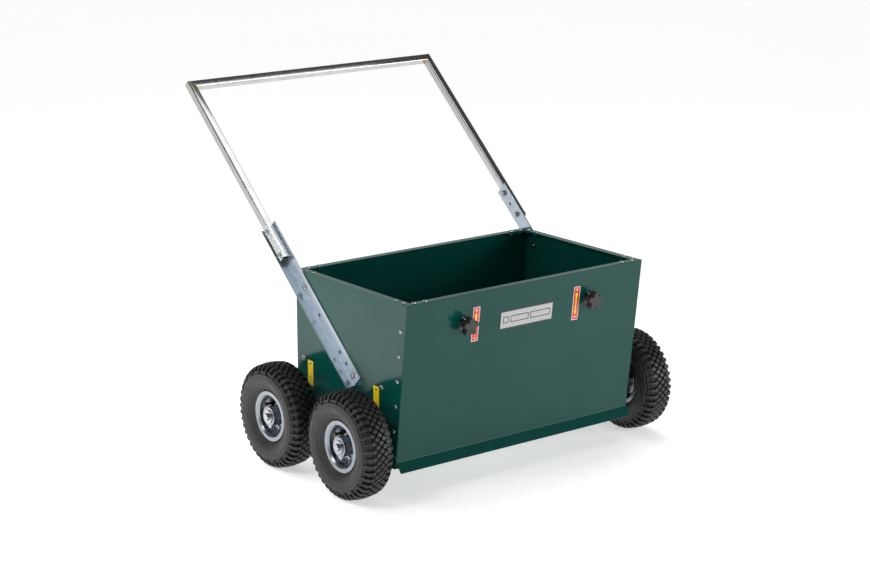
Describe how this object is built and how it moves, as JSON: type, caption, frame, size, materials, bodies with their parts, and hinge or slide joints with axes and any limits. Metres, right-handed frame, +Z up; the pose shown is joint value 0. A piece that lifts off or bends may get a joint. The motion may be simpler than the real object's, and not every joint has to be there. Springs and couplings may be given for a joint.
{
  "type": "walk-behind drop spreader",
  "caption": "Four-wheeled push spreader: open sheet-steel hopper, axle-driven rotor, sliding gate with star knobs, leaning tube handle.",
  "frame": {"origin": "on the ground under the centre of the overall box", "axes": "+X across the machine, +Y back towards the operator's handle, +Z up"},
  "size_m": [0.965, 0.925, 0.8814],
  "materials": {
    "green_paint": "gloss powder coat",
    "bolt_steel": "bright zinc plate",
    "zinc_steel": "blue zinc plate",
    "tube_steel": "bright zinc plate",
    "shaft_steel": "turned steel",
    "bearing_steel": "ground steel",
    "cast_iron": "black coated casting",
    "rim_steel": "zinc-plated pressed steel",
    "tyre": "moulded rubber",
    "tube_rubber": "matt rubber",
    "valve_brass": "turned brass",
    "black_plastic": "moulded plastic",
    "plate_aluminium": "brushed plate with a thin dark border, no lettering",
    "red_label": "printed film with plus, minus and an arrow",
    "yellow_label": "printed film with plain bars"
  },
  "bodies": {
    "hopper": {"front_panel": "green_paint", "rear_panel": "green_paint", "side_panel_left": "green_paint", "side_panel_right": "green_paint", "hopper_floor": "green_paint", "corner_gussets": "green_paint", "rim_screws": "bolt_steel", "side_bolts": "bolt_steel", "cross_ties": "zinc_steel", "cross_tie_bolts": "bolt_steel", "front_axle_flanges": "cast_iron", "front_axle_bearings": "bearing_steel", "rear_axle_flanges": "cast_iron", "axle_flange_bolts": "bolt_steel", "rear_axle": "shaft_steel", "rear_axle_end_bolts": "bolt_steel", "rear_axle_spacers": "shaft_steel", "arm_left": "zinc_steel", "arm_right": "zinc_steel", "arm_bolts": "bolt_steel", "handle_leg_left": "tube_steel", "handle_leg_right": "tube_steel", "handle_grip": "tube_steel", "handle_bolts": "bolt_steel", "nameplate": "plate_aluminium", "gate_scale_labels": "red_label", "side_labels": "yellow_label"},
    "gate": {"gate_plate": "zinc_steel", "gate_studs": "zinc_steel", "knob_washers": "bolt_steel"},
    "knob_left": {"knob_left": "black_plastic"},
    "knob_right": {"knob_right": "black_plastic"},
    "drive_axle": {"drive_axle": "shaft_steel", "drive_axle_keys": "shaft_steel", "drive_axle_end_bolts": "bolt_steel", "drive_axle_spacers": "shaft_steel", "rotor_tube": "shaft_steel", "rotor_discs": "shaft_steel", "rotor_blades": "tube_rubber", "front_tyre_left": "tyre", "front_tyre_right": "tyre", "front_tubes": "tube_rubber", "front_rims": "rim_steel", "front_rim_bolts": "bolt_steel", "front_hubs": "rim_steel", "front_valves": "valve_brass"},
    "rear_wheel_left": {"rear_tyre_left": "tyre", "rear_tube_left": "tube_rubber", "rear_rim_left": "rim_steel", "rear_rim_bolts_left": "bolt_steel", "rear_hub_left": "rim_steel", "rear_bearings_left": "bearing_steel", "rear_valve_left": "valve_brass"},
    "rear_wheel_right": {"rear_tyre_right": "tyre", "rear_tube_right": "tube_rubber", "rear_rim_right": "rim_steel", "rear_rim_bolts_right": "bolt_steel", "rear_hub_right": "rim_steel", "rear_bearings_right": "bearing_steel", "rear_valve_right": "valve_brass"}
  },
  "joints": [
    {"name": "drive_axle_spin", "type": "hinge", "parent": "hopper", "child": "drive_axle", "pos_m": [0, -0.31472, 0.13], "axis": [1, 0, 0], "continuous": true},
    {"name": "rear_wheel_left_spin", "type": "hinge", "parent": "hopper", "child": "rear_wheel_left", "pos_m": [-0.44, -0.02072, 0.13], "axis": [1, 0, 0], "continuous": true},
    {"name": "rear_wheel_right_spin", "type": "hinge", "parent": "hopper", "child": "rear_wheel_right", "pos_m": [0.44, -0.02072, 0.13], "axis": [1, 0, 0], "continuous": true},
    {"name": "gate_slide", "type": "slide", "parent": "hopper", "child": "gate", "axis": [0, -0.1174, 0.9931], "range_m": [-0.012, 0.012]},
    {"name": "knob_left_turn", "type": "hinge", "parent": "gate", "child": "knob_left", "pos_m": [-0.193, -0.43832, 0.40532], "axis": [0, -0.9931, -0.1174], "range_deg": [0, 360]},
    {"name": "knob_right_turn", "type": "hinge", "parent": "gate", "child": "knob_right", "pos_m": [0.193, -0.43832, 0.40532], "axis": [0, -0.9931, -0.1174], "range_deg": [0, 360]}
  ]
}
